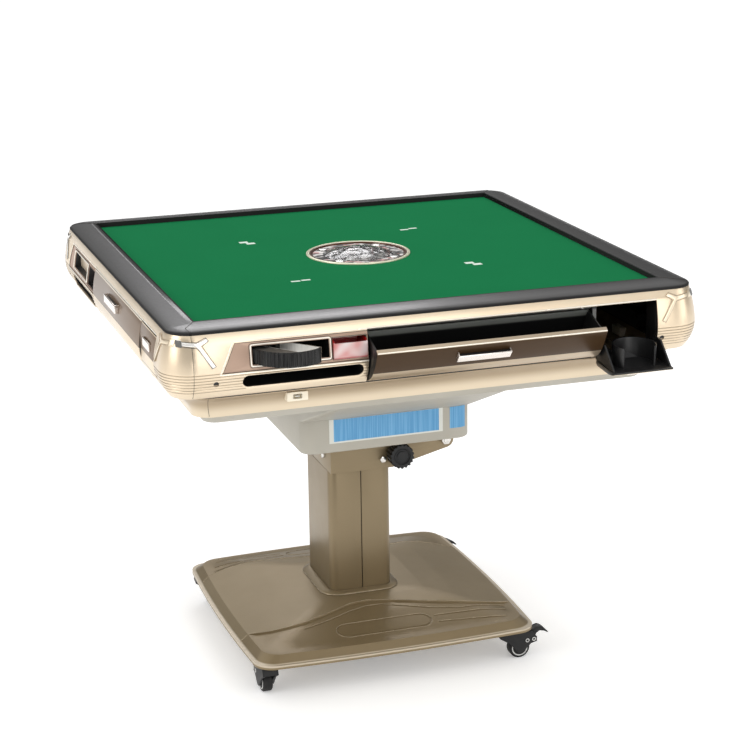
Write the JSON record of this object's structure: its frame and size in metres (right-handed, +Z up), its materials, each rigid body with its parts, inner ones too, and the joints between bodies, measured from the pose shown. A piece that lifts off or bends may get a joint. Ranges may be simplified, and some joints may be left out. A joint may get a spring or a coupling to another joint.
{
  "type": "folding mahjong table",
  "caption": "Square tile-game table with green cloth top, tilt drawers, swivel ashtrays, chip bins, cup flaps and phone slots on each side, folding on a castered pedestal.",
  "frame": {"origin": "on the floor, under the middle of the table top", "axes": "+X along the front side to the right, +Y towards the rear side, +Z up"},
  "size_m": [0.946, 1.0019, 0.747],
  "materials": {
    "champagne_shell": "satin metallic",
    "rail_grey": "satin",
    "green_cloth": "matt nap",
    "board_wood": "plain",
    "bronze_paint": "satin metallic",
    "grey_sheet": "fine texture",
    "brown_inlay": "brushed film",
    "black_plastic": "matt",
    "red_clear": "clear gloss",
    "dish_metal": "polished",
    "bright_trim": "polished",
    "ivory_plastic": "gloss",
    "gloss_black": "gloss",
    "clear_dome": "clear",
    "dice_white": "gloss",
    "bolt_steel": "zinc plated",
    "frame_steel": "matt black paint",
    "wheel_rubber": "matt"
  },
  "bodies": {
    "pedestal": {"base_cover": "bronze_paint", "base_frame": "frame_steel", "column_shell_left": "bronze_paint", "column_shell_right": "bronze_paint", "column_collar": "bronze_paint", "fold_bracket": "bronze_paint", "bracket_bolts": "bolt_steel"},
    "table_top": {"skirt_front": "champagne_shell", "skirt_right": "champagne_shell", "skirt_rear": "champagne_shell", "skirt_left": "champagne_shell", "edge_rails": "rail_grey", "lower_cover": "champagne_shell", "chassis_pan": "grey_sheet", "control_box": "grey_sheet", "hinge_plate": "bronze_paint", "play_board": "board_wood", "play_cloth": "green_cloth", "corner_trims": "bright_trim", "usb_plates": "ivory_plastic"},
    "lock_knob": {"lock_knob": "black_plastic"},
    "dice_unit": {"lift_disc": "gloss_black", "dice_dome": "clear_dome", "dice": "dice_white"},
    "drawer_front": {"drawer_front_front": "brown_inlay", "drawer_tray_front": "black_plastic"},
    "ashtray_front": {"ashtray_drum_front": "black_plastic", "ashtray_dish_front": "dish_metal"},
    "bin_front": {"chip_bin_front": "red_clear"},
    "flap_front": {"cup_flap_front": "black_plastic"},
    "drawer_right": {"drawer_front_right": "brown_inlay", "drawer_tray_right": "black_plastic"},
    "ashtray_right": {"ashtray_drum_right": "black_plastic", "ashtray_dish_right": "dish_metal"},
    "bin_right": {"chip_bin_right": "red_clear"},
    "flap_right": {"cup_flap_right": "black_plastic"},
    "drawer_rear": {"drawer_front_rear": "brown_inlay", "drawer_tray_rear": "black_plastic"},
    "ashtray_rear": {"ashtray_drum_rear": "black_plastic", "ashtray_dish_rear": "dish_metal"},
    "bin_rear": {"chip_bin_rear": "red_clear"},
    "flap_rear": {"cup_flap_rear": "black_plastic"},
    "drawer_left": {"drawer_front_left": "brown_inlay", "drawer_tray_left": "black_plastic"},
    "ashtray_left": {"ashtray_drum_left": "black_plastic", "ashtray_dish_left": "dish_metal"},
    "bin_left": {"chip_bin_left": "red_clear"},
    "flap_left": {"cup_flap_left": "black_plastic"},
    "caster_front_left": {"caster_fork_front_left": "black_plastic"},
    "wheel_front_left": {"caster_wheel_front_left": "wheel_rubber"},
    "brake_front_left": {"brake_lever_front_left": "black_plastic"},
    "caster_front_right": {"caster_fork_front_right": "black_plastic"},
    "wheel_front_right": {"caster_wheel_front_right": "wheel_rubber"},
    "brake_front_right": {"brake_lever_front_right": "black_plastic"},
    "caster_rear_right": {"caster_fork_rear_right": "black_plastic"},
    "wheel_rear_right": {"caster_wheel_rear_right": "wheel_rubber"},
    "brake_rear_right": {"brake_lever_rear_right": "black_plastic"},
    "caster_rear_left": {"caster_fork_rear_left": "black_plastic"},
    "wheel_rear_left": {"caster_wheel_rear_left": "wheel_rubber"},
    "brake_rear_left": {"brake_lever_rear_left": "black_plastic"}
  },
  "joints": [
    {"name": "fold", "type": "hinge", "parent": "pedestal", "child": "table_top", "pos_m": [0.136, 0, 0.389], "axis": [0, 1, 0], "range_deg": [0, 90]},
    {"name": "lock_knob_turn", "type": "hinge", "parent": "pedestal", "child": "lock_knob", "pos_m": [0.042, -0.1, 0.374], "axis": [0, 1, 0], "continuous": true},
    {"name": "dice_unit_lift", "type": "slide", "parent": "table_top", "child": "dice_unit", "axis": [0, 0, 1], "range_m": [0, 0.055]},
    {"name": "drawer_tilt_front", "type": "hinge", "parent": "table_top", "child": "drawer_front", "pos_m": [0.066, -0.446, 0.637], "axis": [1, 0, 0], "range_deg": [-40, 0]},
    {"name": "ashtray_turn_front", "type": "hinge", "parent": "table_top", "child": "ashtray_front", "pos_m": [-0.2625, -0.449, 0.69], "axis": [0, 0, 1], "range_deg": [-129, 51]},
    {"name": "bin_slide_front", "type": "slide", "parent": "table_top", "child": "bin_front", "axis": [0, -1, 0], "range_m": [-0.022, 0]},
    {"name": "cup_flap_tilt_front", "type": "hinge", "parent": "table_top", "child": "flap_front", "pos_m": [0.324, -0.447, 0.634], "axis": [1, 0, 0], "range_deg": [-93, 0]},
    {"name": "drawer_tilt_right", "type": "hinge", "parent": "table_top", "child": "drawer_right", "pos_m": [0.446, 0.066, 0.637], "axis": [0, 1, 0], "range_deg": [0, 40]},
    {"name": "ashtray_turn_right", "type": "hinge", "parent": "table_top", "child": "ashtray_right", "pos_m": [0.449, -0.2625, 0.69], "axis": [0, 0, 1], "range_deg": [0, 180]},
    {"name": "bin_slide_right", "type": "slide", "parent": "table_top", "child": "bin_right", "axis": [1, 0, 0], "range_m": [0, 0.022]},
    {"name": "cup_flap_tilt_right", "type": "hinge", "parent": "table_top", "child": "flap_right", "pos_m": [0.447, 0.324, 0.634], "axis": [0, 1, 0], "range_deg": [0, 93]},
    {"name": "drawer_tilt_rear", "type": "hinge", "parent": "table_top", "child": "drawer_rear", "pos_m": [-0.066, 0.446, 0.637], "axis": [-1, 0, 0], "range_deg": [0, 40]},
    {"name": "ashtray_turn_rear", "type": "hinge", "parent": "table_top", "child": "ashtray_rear", "pos_m": [0.2625, 0.449, 0.69], "axis": [0, 0, 1], "range_deg": [0, 180]},
    {"name": "bin_slide_rear", "type": "slide", "parent": "table_top", "child": "bin_rear", "axis": [0, 1, 0], "range_m": [0, 0.022]},
    {"name": "cup_flap_tilt_rear", "type": "hinge", "parent": "table_top", "child": "flap_rear", "pos_m": [-0.324, 0.447, 0.634], "axis": [-1, 0, 0], "range_deg": [0, 93]},
    {"name": "drawer_tilt_left", "type": "hinge", "parent": "table_top", "child": "drawer_left", "pos_m": [-0.446, -0.066, 0.637], "axis": [0, -1, 0], "range_deg": [0, 40]},
    {"name": "ashtray_turn_left", "type": "hinge", "parent": "table_top", "child": "ashtray_left", "pos_m": [-0.449, 0.2625, 0.69], "axis": [0, 0, 1], "range_deg": [0, 180]},
    {"name": "bin_slide_left", "type": "slide", "parent": "table_top", "child": "bin_left", "axis": [-1, 0, 0], "range_m": [0, 0.022]},
    {"name": "cup_flap_tilt_left", "type": "hinge", "parent": "table_top", "child": "flap_left", "pos_m": [-0.447, -0.324, 0.634], "axis": [0, -1, 0], "range_deg": [0, 93]},
    {"name": "caster_swivel_front_left", "type": "hinge", "parent": "pedestal", "child": "caster_front_left", "pos_m": [-0.256, -0.231, 0.065], "axis": [0, 0, 1], "continuous": true},
    {"name": "wheel_roll_front_left", "type": "hinge", "parent": "caster_front_left", "child": "wheel_front_left", "pos_m": [-0.256, -0.213, 0.02], "axis": [-1, 0, 0], "continuous": true},
    {"name": "brake_press_front_left", "type": "hinge", "parent": "caster_front_left", "child": "brake_front_left", "pos_m": [-0.256, -0.187, 0.036], "axis": [-1, 0, 0], "range_deg": [0, 12]},
    {"name": "caster_swivel_front_right", "type": "hinge", "parent": "pedestal", "child": "caster_front_right", "pos_m": [0.206, -0.231, 0.065], "axis": [0, 0, 1], "continuous": true},
    {"name": "wheel_roll_front_right", "type": "hinge", "parent": "caster_front_right", "child": "wheel_front_right", "pos_m": [0.224, -0.231, 0.02], "axis": [0, 1, 0], "continuous": true},
    {"name": "brake_press_front_right", "type": "hinge", "parent": "caster_front_right", "child": "brake_front_right", "pos_m": [0.25, -0.231, 0.036], "axis": [0, 1, 0], "range_deg": [0, 12]},
    {"name": "caster_swivel_rear_right", "type": "hinge", "parent": "pedestal", "child": "caster_rear_right", "pos_m": [0.206, 0.231, 0.065], "axis": [0, 0, 1], "continuous": true},
    {"name": "wheel_roll_rear_right", "type": "hinge", "parent": "caster_rear_right", "child": "wheel_rear_right", "pos_m": [0.22339, 0.23566, 0.02], "axis": [-0.2588, 0.9659, 0], "continuous": true},
    {"name": "brake_press_rear_right", "type": "hinge", "parent": "caster_rear_right", "child": "brake_rear_right", "pos_m": [0.2485, 0.24239, 0.036], "axis": [-0.2588, 0.9659, 0], "range_deg": [0, 12]},
    {"name": "caster_swivel_rear_left", "type": "hinge", "parent": "pedestal", "child": "caster_rear_left", "pos_m": [-0.256, 0.231, 0.065], "axis": [0, 0, 1], "continuous": true},
    {"name": "wheel_roll_rear_left", "type": "hinge", "parent": "caster_rear_left", "child": "wheel_rear_left", "pos_m": [-0.23807, 0.22943, 0.02], "axis": [0.0872, 0.9962, 0], "continuous": true},
    {"name": "brake_press_rear_left", "type": "hinge", "parent": "caster_rear_left", "child": "brake_rear_left", "pos_m": [-0.21217, 0.22717, 0.036], "axis": [0.0872, 0.9962, 0], "range_deg": [0, 12]}
  ]
}
